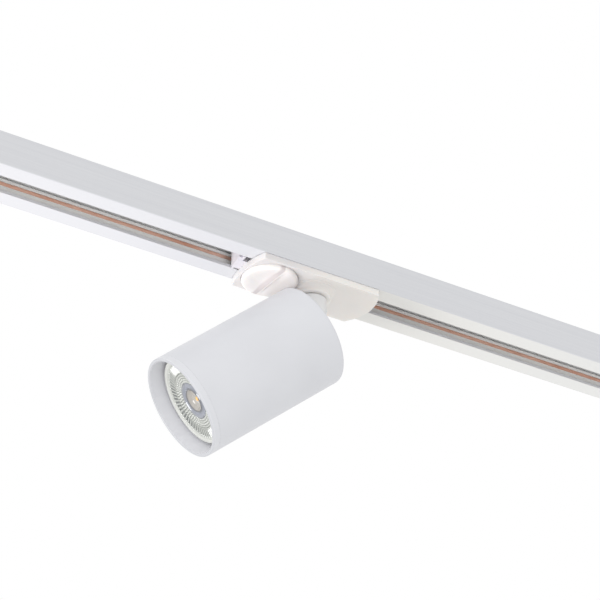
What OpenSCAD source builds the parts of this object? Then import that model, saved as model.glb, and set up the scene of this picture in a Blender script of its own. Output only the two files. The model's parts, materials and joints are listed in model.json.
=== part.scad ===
// Track spotlight: a lighting track, an adapter that slides and locks in its slot,
// and a tubular lamp head that pans and tilts under the adapter.
// Frame: X runs along the track, Z is up, and the origin lies on the track's
// ceiling face, straight above the pan axis. Everything hangs below Z = 0.

/* [Track] */
// Length of the track section
track_length = 500; // [480:10:1000]
// Width of the track profile
track_width = 35; // [35:0.5:38]
// Height of the track profile
track_height = 20; // [20:0.5:22]
// Width of the slot along the underside
slot_width = 14.4; // [14.4:0.1:15]
// Distance between the two fixing holes in the roof
fixing_spacing = 350; // [300:10:400]
// Diameter of the fixing holes
fixing_hole_d = 4.5; // [4:0.1:5]

/* [Adapter] */
// Width of the cover under the track
cover_width = 34.6; // [34:0.1:35]
// Distance from the pan axis to the cover's left corners
cover_left = 41; // [41:0.5:46]
// Distance from the pan axis to the cover's right corners
cover_right = 33.3; // [32:0.1:40]
// Bulge of the cover's left end
bulge_left = 3; // [2:0.5:4]
// Bulge of the cover's right end
bulge_right = 5.2; // [3:0.1:6]
// Distance from the pan axis to the axis of the locking knob
knob_offset = 27.4; // [27.2:0.1:28]
// Diameter of the locking knob
knob_d = 31; // [30:0.5:31]
// Distance from the pan axis to the insert's left end
insert_left = 50.2; // [50:0.1:56]

/* [Stem] */
// Diameter of the swivel stem
stem_d = 16.6; // [15:0.2:16.6]
// Height of the tilt pivot below the track's underside
pivot_drop = 30.8; // [30.8:0.1:36]

/* [Head] */
// Outer diameter of the head
head_d = 58.4; // [57.8:0.1:60]
// Length of the head's tube
head_length = 89.1; // [89:0.1:100]
// Wall thickness of the head's tube
head_wall = 1.9; // [1.5:0.1:2.2]
// Compass heading of the head, counter-clockwise from +X
heading = 160.9; // [150:0.1:180]
// Tilt of the head from straight down
tilt = 53; // [30:0.1:56]

/* [Lamp] */
// Diameter of the lamp
lamp_d = 50; // [49:0.5:51]
// Depth of the lamp's face behind the rim of the head
recess_depth = 8; // [8:0.5:12]
// Length of the lamp from its face to its shoulder
lamp_length = 46.5; // [44:0.5:47]

/* [Hidden] */
$fn = 72;

// Gaps and fits
part_gap = 0.3;      // between pieces that move past each other
running_fit = 0.05;  // radial play of a turning shaft in its bore
screw_play = 0.05;   // radial play round a screw's shank
cut = 1;             // how far a cutter runs past the face it opens
screw_slot_w = 0.8;  // slot across a screw's head
screw_slot_depth = 0.8;

// Track profile
track_bottom = -track_height;
wall = 1.5;
roof = 1.8;
lip = 1.8;
corner_r = 0.7;
insulator_inner = 11;
insulator_low = track_bottom + 4;
insulator_high = track_bottom + 11.3;
ledge_t = 0.9;
ledge_inner = track_width / 2 - 4.5;
strip_z = track_bottom + 8.3;
strip_h = 3.2;
strip_t = 1;
strip_mouth_h = 2.4;
strip_recess = 0.6;
boss_r = 2.6;
boss_y = 13.9;
boss_z = -roof - boss_r + 0.4;
boss_hole_r = 1.3;

// End caps
cap_t = 3;
plug_length = 8;
plug_side_gap = 0.5;
cap_screw_head_r = 2.4;
cap_screw_head_t = 1.4;
cap_screw_length = 9;

// Adapter cover, from its top under the track to its lower face
cover_top = track_bottom - part_gap;
cover_t = 4;
cover_bottom = cover_top - cover_t;
cover_crown = 0.4;
pocket_floor = cover_top - 1.2;
collar_r = 13.4;
collar_bead_r = 10.8;
collar_end = cover_bottom - 4.4;
collar_edge_r = 1;

// Insert in the slot
insert_w = slot_width - 2 * part_gap;
insert_right = 30;
insert_floor_t = 1.9;
insert_floor = cover_top + insert_floor_t;
insert_top = -5.1;
nose_w = 11.2;
nose_slant = 2.4;
rib_left = 48.3;
rib_right = 46.8;
neck_near = 3;
neck_end = 41;
bridge_t = 3;
bridge_w = 10;
block_left = 14.8;
nut_pocket_l = 16;
nut_pocket_top = track_bottom + 8;
lead_room_left = 12;
lead_room_right = 3.4;
lead_room_w = 12.4;
lead_room_low = track_bottom + 4.2;
leaf_t = 0.6;
leaf_h = 2;
leaf_y = 5.85;
leaf_z = track_bottom + 5.4;
leaf_start = 31;
leaf_end = 9;
adapter_screw_x = [12, 27];
adapter_screw_r = 1.5;
adapter_screw_head_r = 2.7;
adapter_screw_head_t = 2;
adapter_screw_head_z = -8.1;
adapter_screw_end = cover_bottom + 1;
earth_start = 15.5;
earth_end = 23.5;
earth_w = 5;
earth_t = 0.4;
earth_rise = 2.6;

// Locking knob and contact rotor
knob_r = knob_d / 2;
knob_face = cover_bottom - 2.2;
knob_edge_r = 0.9;
knob_rim_w = 1.6;
dish_depth = 1.7;
grip_w = 6;
shaft_r = 5.5;
cam_low = track_bottom + 2.1;
cam_t = 1.5;
cam_r = 9.8;
cam_w = 9;
cam_boss_r = 3;
drum_r = 5.2;
drum_low = cam_low + cam_t;
drum_top = insert_top - bridge_t - part_gap;
journal_r = 3;
journal_top = insert_top - part_gap;
blade_t = 1.2;
blade_w = 4.4;
blade_inner = 2.4;
blade_r = insulator_inner + 0.2;
rotor_screw_r = 1.5;
rotor_screw_head_r = 2.6;
rotor_screw_head_t = 1.6;
rotor_screw_end = knob_face + 4;

// Swivel stem
pivot_z = track_bottom - pivot_drop;
stem_r = stem_d / 2;
stem_top = collar_end - part_gap;
stem_end = pivot_z + 11.6;
stem_chamfer = 0.5;
spigot_r = 5;
spigot_top = track_bottom + 7;
stem_bore_r = 3.2;
stem_bore_end = stem_end + 0.4;
tongue_t = 6.5;
tongue_r = 5.5;
channel_r = 1;
channel_x = 3.8;
washer_r = 6.6;
washer_t = 0.8;
washer_low = insert_floor + 0.1;
nut_t = 3.4;
nut_notch = 1;

// Knuckle on the back of the head, in the head's own frame
rear_z = 0.7;
rear_wall = 3;
rear_in = rear_z + rear_wall;
rear_fillet = 1.4;
head_r = head_d / 2;
bore_r = head_r - head_wall;
front_z = rear_z + head_length;
ring_seat = front_z - 4.1;
sleeve_length = 5;
sleeve_gap = 0.1;
sleeve_t = 0.9;
rim_r = 0.6;
hub_r = 13;
hub_proud = 0.4;
hub_flange_r = 17;
hub_flange_t = 2;
lug_inner = 3.75;
lug_outer = 8;
lug_r = 6;
hub_slot = 9.6;
tilt_screw_r = 2;
tilt_head_r = 3.5;
tilt_head_t = 2.3;
tilt_nut_r = 4.04;
tilt_nut_play = 0.1;
tilt_screw_proud = 0.4;
socket_r = 1.45;
socket_depth = 1.3;
seat_depth = 2.4;
seat_run = 12;
tilt_washer_r = 5;
tilt_washer_t = 0.4;
hub_screw_y = 15;
hub_screw_r = 1.25;
hub_screw_head_r = 1.9;
hub_screw_head_t = 1.4;
hub_screw_end = rear_z + 0.8;

// Lampholder and its bracket, in the head's own frame
foot_x = 22.6;
foot_out = 25;
foot_w = 10;
bracket_w = 15;
bracket_t = 1.5;
bracket_leg = 20.7;
bracket_top = 17.9;
bracket_hole_r = 6;
bracket_screw_r = 1.5;
bracket_screw_head_r = 2.8;
bracket_screw_sink = 1.6;
bracket_screw_end = 9;
cross_reach = 1.7;
cross_w = 0.6;
cross_depth = 1;
holder_r = 13.5;
holder_screw_x = 9.6;
holder_screw_r = 1.5;
holder_screw_head_r = 2.8;
holder_screw_head_t = 1.6;
holder_screw_sink = 2.2;
holder_screw_end = 14.5;
holder_neck = 3;
unlock_angle = 28;

// Lamp, in the head's own frame
lamp_r = lamp_d / 2;
face_z = front_z - recess_depth;
shoulder_z = face_z - lamp_length;
holder_face = shoulder_z - part_gap;
lamp_wall = 1.4;
lamp_rim_h = 4;
lamp_neck_r = 14.6;
lamp_neck_z = shoulder_z + 9;
lamp_neck_h = 1;
lamp_step = 0.8;
lamp_curve = 1.25;
lamp_curve_steps = 12;
base_r = 12.4;
base_wall = 1.4;
base_floor_t = 3;
base_top = lamp_neck_z - 2.5;
bezel_w = 1.6;
bezel_t = 1.2;
lens_t = 2;
lens_step = 0.4;
cup_wall = 1;
cup_foot_w = 2;
cup_gap = 1;
cup_depth = 6;
cup_crown = 1;
board_r = 17;
board_t = 1.6;
board_z = face_z - 14;
led_r = 4.2;
led_t = 1;
driver_l = 18;
driver_w = 15;
driver_t = 1.6;
pin_spacing = 10;
pin_r = 1.5;
pin_length = 7;
pin_head_r = 2.4;
pin_head_t = 2.4;
pin_play = 0.3;
pin_grip = 5;

// Leads, each route chosen by hand: the other lead of the pair is its mirror image
// across the X axis in the adapter, and half a turn away in the stem and the head
lead_r = 0.7;
lead_sides = 8;
adapter_route = [
    [-10, 4.8, -14.6], [-10, 3.5, -13], [-9, 2, -9.3], [-2, 1.2, -9.3], [0, 1.2, -10.3],
    [0, 1.2, -12.4]
];
stem_route = [[1.2, 0, -13.5], [1.2, 0, -29.6], [2.2, 0, -33.6], [2.4, 0, -36.6]];
head_route = [[0, 5, 17.9], [0, 5, 13.9], [2, 3, 10.9], [3.8, 0, 8.2]];

// Points on an arc about [cx, cy] from angle a0 to a1
function arc(cx, cy, r, a0, a1, steps = 8) =
    [for (i = [0:steps]) let (a = a0 + (a1 - a0) * i / steps) [cx + r * cos(a), cy + r * sin(a)]];

// Radius of the circle through a chord of the given half width and bulge
function bulge_radius(half, bulge) = (half * half + bulge * bulge) / (2 * bulge);

// Moves its children into the head's frame: Z along the head's axis towards the
// lamp, Y along the tilt axis, origin at the tilt pivot
module in_head() {
    translate([0, 0, pivot_z])
        rotate([0, 180 - tilt, heading])
            children();
}

// Rectangle with round corners, centred in width, from low to high
module round_rect(w, low, high, r) {
    union() {
        translate([-w / 2 + r, low])
            square([w - 2 * r, high - low]);
        translate([-w / 2, low + r])
            square([w, high - low - 2 * r]);
        for (x = [-w / 2 + r, w / 2 - r], y = [low + r, high - r])
            translate([x, y])
                circle(r);
    }
}

// Extrudes a section drawn in Y and Z along X
module along_x(x0, x1) {
    translate([x0, 0, 0])
        rotate([90, 0, 90])
            linear_extrude(x1 - x0)
                children();
}

// Cylinder from height z0 up to z1
module rod(r, z0, z1) {
    translate([0, 0, z0])
        cylinder(r = r, h = z1 - z0);
}

// Ring from height z0 up to z1
module ring(r_out, r_in, z0, z1) {
    difference() {
        rod(r_out, z0, z1);
        rod(r_in, z0 - cut, z1 + cut);
    }
}

// Box centred on the X axis, from x0 to x1 and z0 to z1
module bar(x0, x1, w, z0, z1) {
    translate([x0, -w / 2, z0])
        cube([x1 - x0, w, z1 - z0]);
}

function unit(v) = v / norm(v);

// Direction of a route at point i
function heading_at(route, i) =
    let (
        before = i > 0 ? unit(route[i] - route[i - 1]) : unit(route[1] - route[0]),
        after = i < len(route) - 1 ? unit(route[i + 1] - route[i]) : before
    )
    unit(before + after);

// Points of the octagon round a route's point i
function lead_ring(route, i) =
    let (
        along = heading_at(route, i),
        side = unit(cross(along, [1, 1, 1])),
        up = cross(along, side)
    )
    [for (k = [0:lead_sides - 1])
        let (a = 360 * k / lead_sides)
        route[i] + lead_r * (cos(a) * side + sin(a) * up)];

// Insulated lead swept along a route
module lead(route) {
    last = len(route) - 1;
    n = lead_sides;
    rings = [for (i = [0:last]) each lead_ring(route, i)];
    walls = [
        for (i = [0:last - 1], k = [0:n - 1])
            let (next = (k + 1) % n)
            each [
                [i * n + k, (i + 1) * n + k, (i + 1) * n + next],
                [i * n + k, (i + 1) * n + next, i * n + next]
            ]
    ];
    caps = [
        [for (k = [0:n - 1]) k],
        [for (k = [n - 1:-1:0]) last * n + k]
    ];
    polyhedron(rings, concat(walls, caps), convexity = 4);
}

// ---------- Track ----------

// Section of the aluminium profile: a box with a slot below, ledges for the
// insulators and two round screw channels under the roof
module track_section() {
    difference() {
        union() {
            difference() {
                round_rect(track_width, track_bottom, 0, corner_r);
                translate([-track_width / 2 + wall, track_bottom + lip])
                    square([track_width - 2 * wall, track_height - lip - roof]);
                translate([-slot_width / 2, track_bottom - cut])
                    square([slot_width, lip + 2 * cut]);
            }
            for (side = [-1, 1], z = [insulator_low - ledge_t, insulator_high])
                translate([side > 0 ? ledge_inner : -track_width / 2 + wall / 2, z])
                    square([track_width / 2 - wall / 2 - ledge_inner, ledge_t]);
            for (side = [-1, 1])
                translate([side * boss_y, boss_z])
                    circle(boss_r);
        }
        for (side = [-1, 1])
            translate([side * boss_y, boss_z])
                circle(boss_hole_r);
    }
}

module track_profile() {
    color("gainsboro")
        difference() {
            along_x(-track_length / 2, track_length / 2)
                track_section();
            for (side = [-1, 1])
                translate([side * fixing_spacing / 2, 0, 0])
                    rod(fixing_hole_d / 2, -roof - cut, cut);
        }
}

// Section of one insulator, on the +Y side, grooved for its copper strip
module insulator_section() {
    difference() {
        translate([insulator_inner, insulator_low])
            square([track_width / 2 - wall - insulator_inner, insulator_high - insulator_low]);
        translate([insulator_inner - cut, strip_z - strip_mouth_h / 2])
            square([strip_recess + 2 * cut, strip_mouth_h]);
        translate([insulator_inner + strip_recess, strip_z - strip_h / 2])
            square([strip_t, strip_h]);
    }
}

module insulator(side) {
    reach = track_length / 2 - plug_length - cut;
    color("whitesmoke")
        mirror([0, side > 0 ? 0 : 1, 0])
            along_x(-reach, reach)
                insulator_section();
}

module insulator_live() {
    insulator(1);
}

module insulator_neutral() {
    insulator(-1);
}

module conductor(side) {
    reach = track_length / 2 - plug_length - cut;
    color("sandybrown")
        mirror([0, side > 0 ? 0 : 1, 0])
            along_x(-reach, reach)
                translate([insulator_inner + strip_recess, strip_z - strip_h / 2])
                    square([strip_t, strip_h]);
}

module conductor_live() {
    conductor(1);
}

module conductor_neutral() {
    conductor(-1);
}

// Cap over one end of the track: an outer plate, a plug and a tongue in the slot
module end_cap(side) {
    face = track_length / 2;
    color("white")
        mirror([side > 0 ? 0 : 1, 0, 0])
            difference() {
                union() {
                    along_x(face, face + cap_t)
                        round_rect(track_width, track_bottom, 0, corner_r);
                    bar(face - plug_length, face, 2 * (insulator_inner - plug_side_gap),
                        track_bottom + lip, -roof - plug_side_gap);
                    bar(face - plug_length, face, slot_width - part_gap,
                        track_bottom, track_bottom + lip);
                }
                for (y = [-boss_y, boss_y])
                    translate([face - cut, y, boss_z])
                        rotate([0, 90, 0])
                            cylinder(r = boss_hole_r + screw_play, h = cap_t + 2 * cut);
            }
}

module end_cap_left() {
    end_cap(-1);
}

module end_cap_right() {
    end_cap(1);
}

module end_cap_screws() {
    face = track_length / 2 + cap_t;
    color("silver")
        for (side = [-1, 1], y = [-boss_y, boss_y])
            mirror([side > 0 ? 0 : 1, 0, 0])
                translate([face, y, boss_z])
                    rotate([0, 90, 0])
                        union() {
                            rod(boss_hole_r - screw_play, -cap_screw_length, 0);
                            rod(cap_screw_head_r, 0, cap_screw_head_t);
                        }
}

// ---------- Adapter ----------

// Plan of the cover: parallel sides and two bulging ends
module cover_outline() {
    half = cover_width / 2;
    left_r = bulge_radius(half, bulge_left);
    right_r = bulge_radius(half, bulge_right);
    intersection() {
        translate([-cover_left - bulge_left, -half])
            square([cover_left + bulge_left + cover_right + bulge_right, cover_width]);
        union() {
            translate([-cover_left - bulge_left + left_r, 0])
                circle(left_r, $fn = 180);
            translate([0, -half])
                square([cover_right + bulge_right, cover_width]);
        }
        union() {
            translate([cover_right + bulge_right - right_r, 0])
                circle(right_r, $fn = 180);
            translate([-cover_left - bulge_left, -half])
                square([cover_left + bulge_left, cover_width]);
        }
    }
}

// Half section of the collar that carries the stem: a flared foot and a bead
module collar_section() {
    flare = collar_r - collar_bead_r;
    polygon(concat(
        [[0, cover_bottom + cut], [collar_r, cover_bottom + cut]],
        arc(collar_r, cover_bottom - flare, flare, 90, 180),
        arc(collar_bead_r - collar_edge_r, collar_end + collar_edge_r, collar_edge_r, 0, -90),
        [[0, collar_end]]
    ));
}

// Section of the cover's plate, slightly crowned along its middle
module plate_section() {
    half = cover_width / 2;
    polygon([
        [-half, cover_top],
        [half, cover_top],
        [half, cover_bottom + cover_crown],
        [0, cover_bottom],
        [-half, cover_bottom + cover_crown]
    ]);
}

module adapter_cover() {
    color("ivory")
        difference() {
            union() {
                intersection() {
                    translate([0, 0, cover_bottom - cut])
                        linear_extrude(cover_t + 2 * cut)
                            cover_outline();
                    along_x(-cover_left - bulge_left, cover_right + bulge_right)
                        plate_section();
                }
                rotate_extrude()
                    collar_section();
            }
            rod(spigot_r + running_fit, collar_end - cut, cover_top + cut);
            translate([-knob_offset, 0, 0]) {
                rod(knob_r + part_gap, collar_end - cut, pocket_floor);
                rod(shaft_r + running_fit, pocket_floor - cut, cover_top + cut);
            }
            for (x = adapter_screw_x)
                translate([x, 0, 0])
                    rod(adapter_screw_r, adapter_screw_end, cover_top + cut);
        }
}

// Plan of the insert's nose: a slanted end, a rib that centres it in the slot
// and a neck that is cut away on the -Y side
module nose_plan() {
    half = nose_w / 2;
    polygon([
        [-insert_left, -half],
        [-rib_left, -half],
        [-rib_left, -insert_w / 2],
        [-rib_right, -insert_w / 2],
        [-rib_right, -neck_near],
        [cut - neck_end, -neck_near],
        [cut - neck_end, half],
        [-rib_right, half],
        [-rib_right, insert_w / 2],
        [nose_slant - insert_left, insert_w / 2]
    ]);
}

// The insert that fills the slot: a floor with a nose at its left end, a bridge
// over the rotor and a block over the stem's nut
module contact_housing() {
    color("white")
        difference() {
            union() {
                translate([0, 0, cover_top])
                    linear_extrude(insert_top - cover_top)
                        nose_plan();
                bar(-neck_end, insert_right, insert_w, cover_top, insert_floor);
                bar(-block_left, insert_right, insert_w, cover_top, insert_top);
                bar(-neck_end, insert_right, bridge_w, insert_top - bridge_t, insert_top);
            }
            translate([-knob_offset, 0, 0]) {
                rod(shaft_r + running_fit, cover_top - cut, insert_floor + cut);
                rod(journal_r + running_fit, insert_top - bridge_t - cut, insert_top + cut);
            }
            rod(spigot_r + running_fit, cover_top - cut, insert_floor + cut);
            bar(-nut_pocket_l / 2, nut_pocket_l / 2, insert_w + 2 * cut,
                insert_floor, nut_pocket_top);
            bar(-lead_room_left, lead_room_right, lead_room_w,
                lead_room_low, insert_top - bridge_t);
            for (side = [-1, 1])
                translate([-block_left - cut, side * leaf_y - leaf_t / 2, leaf_z - leaf_h / 2])
                    cube([block_left - lead_room_left + 2 * cut, leaf_t, leaf_h]);
            for (x = adapter_screw_x)
                translate([x, 0, 0]) {
                    rod(adapter_screw_r + screw_play, cover_top - cut, insert_top);
                    rod(adapter_screw_head_r + screw_play, adapter_screw_head_z, insert_top + cut);
                }
        }
}

module adapter_screws() {
    color("silver")
        for (x = adapter_screw_x)
            translate([x, 0, 0])
                difference() {
                    union() {
                        rod(adapter_screw_r, adapter_screw_end, adapter_screw_head_z);
                        rod(adapter_screw_head_r, adapter_screw_head_z,
                            adapter_screw_head_z + adapter_screw_head_t);
                    }
                    bar(-adapter_screw_head_r, adapter_screw_head_r, screw_slot_w,
                        adapter_screw_head_z + adapter_screw_head_t - screw_slot_depth, 0);
                }
}

// Brass leaf that wipes one side of the rotor's drum
module spring_contact(side) {
    color("goldenrod")
        translate([-leaf_start, side * leaf_y - leaf_t / 2, leaf_z - leaf_h / 2])
            cube([leaf_start - leaf_end, leaf_t, leaf_h]);
}

module live_spring_contact() {
    spring_contact(1);
}

module neutral_spring_contact() {
    spring_contact(-1);
}

// Bowed leaf that reaches up towards the track's roof and earths the head
module earth_spring() {
    half = (earth_end - earth_start) / 2;
    bow_r = bulge_radius(half, earth_rise);
    bow_z = insert_top + earth_rise - bow_r;
    sweep = asin(half / bow_r);
    inner_sweep = sweep * (1 - earth_t / half);
    color("goldenrod")
        translate([earth_start + half, 0, 0])
            rotate([90, 0, 0])
                linear_extrude(earth_w, center = true)
                    polygon(concat(
                        arc(0, bow_z, bow_r, 90 - sweep, 90 + sweep, 16),
                        arc(0, bow_z, bow_r - earth_t, 90 + inner_sweep, 90 - inner_sweep, 16)
                    ));
}

// Two leads from the spring contacts to the mouth of the stem
module adapter_leads() {
    color("firebrick")
        for (side = [-1, 1])
            lead([for (p = adapter_route) [p.x, side * p.y, p.z]]);
}

// ---------- Locking knob ----------

// Half section of the knob's cap and shaft
module knob_section() {
    polygon(concat(
        [[0, knob_face], [knob_r - knob_edge_r, knob_face]],
        arc(knob_r - knob_edge_r, knob_face + knob_edge_r, knob_edge_r, -90, 0),
        [
            [knob_r, pocket_floor - part_gap],
            [shaft_r, pocket_floor - part_gap],
            [shaft_r, cam_low],
            [cam_boss_r, cam_low],
            [cam_boss_r, drum_low],
            [0, drum_low]
        ]
    ));
}

module lock_knob() {
    dish_r = knob_r - knob_rim_w;
    dish_ball = bulge_radius(dish_r, dish_depth);
    color("ivory")
        translate([-knob_offset, 0, 0])
            difference() {
                rotate_extrude()
                    knob_section();
                intersection() {
                    translate([0, 0, knob_face + dish_depth - dish_ball])
                        sphere(dish_ball, $fn = 180);
                    for (side = [-1, 1])
                        translate([side * (grip_w / 2 + knob_r / 2), 0, knob_face])
                            cube([knob_r, knob_d, 2 * dish_depth + cut], center = true);
                }
                rod(rotor_screw_r, rotor_screw_end, drum_low + cut);
            }
}

module lock_cam() {
    color("silver")
        translate([-knob_offset, 0, 0])
            difference() {
                intersection() {
                    rod(cam_r, cam_low, drum_low);
                    bar(-cam_w / 2, cam_w / 2, 2 * cam_r, cam_low, drum_low);
                }
                rod(cam_boss_r, cam_low - cut, drum_low + cut);
            }
}

// Plan of one contact blade, reaching out along +Y
module blade_plan() {
    intersection() {
        circle(blade_r);
        translate([-blade_w / 2, blade_inner])
            square([blade_w, blade_r]);
    }
}

module blade(side) {
    translate([-knob_offset, 0, strip_z - blade_t / 2])
        mirror([0, side > 0 ? 0 : 1, 0])
            linear_extrude(blade_t)
                blade_plan();
}

module contact_rotor() {
    color("dimgray")
        difference() {
            translate([-knob_offset, 0, 0])
                difference() {
                    union() {
                        rod(drum_r, drum_low, drum_top);
                        rod(journal_r, drum_top, journal_top);
                    }
                    rod(rotor_screw_r + screw_play, drum_low - cut, journal_top + cut);
                }
            blade(1);
            blade(-1);
        }
}

module live_blade() {
    color("goldenrod")
        blade(1);
}

module neutral_blade() {
    color("goldenrod")
        blade(-1);
}

module rotor_screw() {
    color("silver")
        translate([-knob_offset, 0, 0])
            difference() {
                union() {
                    rod(rotor_screw_r, rotor_screw_end, journal_top);
                    rod(rotor_screw_head_r, journal_top, journal_top + rotor_screw_head_t);
                }
                bar(-rotor_screw_head_r, rotor_screw_head_r, screw_slot_w,
                    journal_top + rotor_screw_head_t - screw_slot_depth, 0);
            }
}

// ---------- Swivel stem ----------

// Half section of the stem's barrel and threaded spigot
module stem_section() {
    polygon([
        [0, stem_end],
        [stem_r - 2 * stem_chamfer, stem_end],
        [stem_r, stem_end + 2 * stem_chamfer],
        [stem_r, stem_top - stem_chamfer / 2],
        [stem_r - stem_chamfer / 2, stem_top],
        [spigot_r, stem_top],
        [spigot_r, spigot_top - stem_chamfer],
        [spigot_r - stem_chamfer, spigot_top],
        [0, spigot_top]
    ]);
}

module swivel_stem() {
    color("gainsboro")
        rotate([0, 0, heading])
            difference() {
                union() {
                    rotate_extrude()
                        stem_section();
                    bar(-tongue_r, tongue_r, tongue_t, pivot_z, stem_end + cut);
                    translate([0, 0, pivot_z])
                        rotate([90, 0, 0])
                            cylinder(r = tongue_r, h = tongue_t, center = true);
                }
                rod(stem_bore_r, stem_bore_end, spigot_top + cut);
                for (x = [-channel_x, channel_x])
                    translate([x, 0, 0])
                        rod(channel_r, pivot_z - tongue_r - cut, stem_bore_end + 2 * channel_r);
                translate([0, 0, pivot_z])
                    rotate([90, 0, 0])
                        cylinder(r = tilt_screw_r + running_fit, h = tongue_t + 2 * cut,
                                 center = true);
            }
}

module swivel_washer() {
    color("white")
        ring(washer_r, spigot_r + running_fit, washer_low, washer_low + washer_t);
}

module swivel_nut() {
    low = washer_low + washer_t;
    color("silver")
        difference() {
            ring(washer_r, spigot_r + running_fit, low, low + nut_t);
            for (a = [0:90:270])
                rotate([0, 0, a])
                    bar(washer_r - nut_notch, washer_r + cut, 2 * nut_notch,
                        low - cut, low + nut_t + cut);
        }
}

// Two leads down the stem's bore, towards the channels in its tongue
module stem_leads() {
    color("firebrick")
        rotate([0, 0, heading])
            for (side = [-1, 1])
                lead([for (p = stem_route) [side * p.x, side * p.y, p.z]]);
}

// ---------- Head ----------

// Half section of the head: a cup with a filleted back, rebated at the front
module head_section() {
    polygon(concat(
        [[hub_r, rear_z]],
        arc(head_r - rear_fillet, rear_z + rear_fillet, rear_fillet, -90, 0, 12),
        [
            [head_r, ring_seat],
            [bore_r + sleeve_t, ring_seat],
            [bore_r + sleeve_t, ring_seat - sleeve_length],
            [bore_r, ring_seat - sleeve_length],
            [bore_r, rear_in],
            [hub_r, rear_in]
        ]
    ));
}

// Half section of the front ring, whose sleeve sits in the tube's rebate
module ring_section() {
    sleeve_low = ring_seat - sleeve_length + sleeve_gap;
    sleeve_r = bore_r + sleeve_t - running_fit;
    polygon(concat(
        [[bore_r, sleeve_low], [sleeve_r, sleeve_low], [sleeve_r, ring_seat], [head_r, ring_seat]],
        arc(head_r - rim_r, front_z - rim_r, rim_r, 0, 90, 6),
        [[bore_r + rim_r / 2, front_z], [bore_r, front_z - rim_r / 2]]
    ));
}

module head_shell() {
    color("gainsboro")
        in_head()
            difference() {
                rotate_extrude($fn = 180)
                    head_section();
                for (x = [-foot_x, foot_x])
                    translate([x, 0, 0]) {
                        rod(bracket_screw_r + screw_play, rear_z - cut, rear_in + cut);
                        screw_cone(screw_play);
                    }
                for (y = [-hub_screw_y, hub_screw_y])
                    translate([0, y, 0])
                        rod(hub_screw_r, hub_screw_end, rear_in + cut);
            }
}

module head_ring() {
    color("gainsboro")
        in_head()
            rotate_extrude($fn = 180)
                ring_section();
}

// Countersunk screw head, flush with the head's rear face
module screw_cone(play) {
    translate([0, 0, rear_z])
        cylinder(r1 = bracket_screw_head_r + play, r2 = bracket_screw_r + play,
                 h = bracket_screw_sink);
}

// Cast hub that fills the opening in the rear wall and carries two hinge lugs
module hinge_block() {
    color("lightgray")
        in_head()
            difference() {
                union() {
                    rod(hub_r, rear_z - hub_proud, rear_in);
                    rod(hub_flange_r, rear_in, rear_in + hub_flange_t);
                    for (side = [-1, 1])
                        translate([0, side * (lug_inner + lug_outer) / 2, 0])
                            union() {
                                rotate([90, 0, 0])
                                    cylinder(r = lug_r, h = lug_outer - lug_inner, center = true);
                                bar(-lug_r, lug_r, lug_outer - lug_inner, 0, rear_in);
                            }
                }
                translate([-hub_slot, -lug_inner, -lug_r - cut])
                    cube([2 * hub_slot, 2 * lug_inner, lug_r + rear_in + hub_flange_t + 2 * cut]);
                rotate([90, 0, 0])
                    cylinder(r = tilt_screw_r + screw_play, h = 2 * lug_outer, center = true);
                translate([0, -lug_outer + seat_depth, 0])
                    rotate([90, 0, 0])
                        cylinder(r = tilt_head_r + screw_play, h = seat_run);
                translate([0, lug_outer - seat_depth, 0])
                    rotate([-90, 0, 0])
                        cylinder(r = tilt_nut_r + tilt_nut_play, h = seat_run, $fn = 6);
                for (y = [-hub_screw_y, hub_screw_y])
                    translate([0, y, 0])
                        rod(hub_screw_r + screw_play, rear_in - cut, rear_in + hub_flange_t + cut);
            }
}

module hinge_block_screws() {
    top = rear_in + hub_flange_t;
    color("silver")
        in_head()
            for (y = [-hub_screw_y, hub_screw_y])
                translate([0, y, 0])
                    union() {
                        rod(hub_screw_r, hub_screw_end, top);
                        rod(hub_screw_head_r, top, top + hub_screw_head_t);
                    }
}

// Pivot screw along the tilt axis, with a hexagon socket in its head
module tilt_screw() {
    seat = lug_outer - seat_depth;
    color("silver")
        in_head()
            rotate([90, 0, 0])
                difference() {
                    union() {
                        rod(tilt_screw_r, -lug_outer - tilt_screw_proud, seat);
                        rod(tilt_head_r, seat, seat + tilt_head_t);
                    }
                    translate([0, 0, seat + tilt_head_t - socket_depth])
                        cylinder(r = socket_r, h = socket_depth + cut, $fn = 6);
                }
}

module tilt_nut() {
    color("silver")
        in_head()
            translate([0, lug_outer - seat_depth, 0])
                rotate([-90, 0, 0])
                    difference() {
                        cylinder(r = tilt_nut_r, h = seat_depth, $fn = 6);
                        rod(tilt_screw_r, -cut, seat_depth + cut);
                    }
}

module tilt_washers() {
    color("white")
        in_head()
            for (side = [-1, 1])
                rotate([side * 90, 0, 0])
                    ring(tilt_washer_r, tilt_screw_r + screw_play,
                         lug_inner - tilt_washer_t, lug_inner);
}

// Strap that bridges the hinge block and carries the lampholder
module holder_bracket() {
    color("silver")
        in_head()
            difference() {
                union() {
                    bar(-bracket_leg, bracket_leg, bracket_w, bracket_top - bracket_t, bracket_top);
                    for (side = [-1, 1])
                        mirror([side > 0 ? 0 : 1, 0, 0]) {
                            bar(bracket_leg - bracket_t, bracket_leg, foot_w, rear_in, bracket_top);
                            bar(bracket_leg - bracket_t, foot_out, foot_w,
                                rear_in, rear_in + bracket_t);
                        }
                }
                rod(bracket_hole_r, rear_in, bracket_top + cut);
                for (side = [-1, 1]) {
                    translate([side * foot_x, 0, 0])
                        rod(bracket_screw_r + screw_play, rear_in - cut, rear_in + 2 * bracket_t);
                    translate([side * holder_screw_x, 0, 0])
                        rod(holder_screw_r + screw_play, rear_in + cut + bracket_t, bracket_top + cut);
                }
            }
}

module bracket_screws() {
    color("silver")
        in_head()
            for (x = [-foot_x, foot_x])
                translate([x, 0, 0])
                    difference() {
                        union() {
                            rod(bracket_screw_r, rear_z, bracket_screw_end);
                            screw_cone(0);
                        }
                        for (turn = [0, 90])
                            rotate([0, 0, turn])
                                bar(-cross_reach, cross_reach, cross_w,
                                    rear_z - cut, rear_z + cross_depth);
                    }
}

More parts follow.
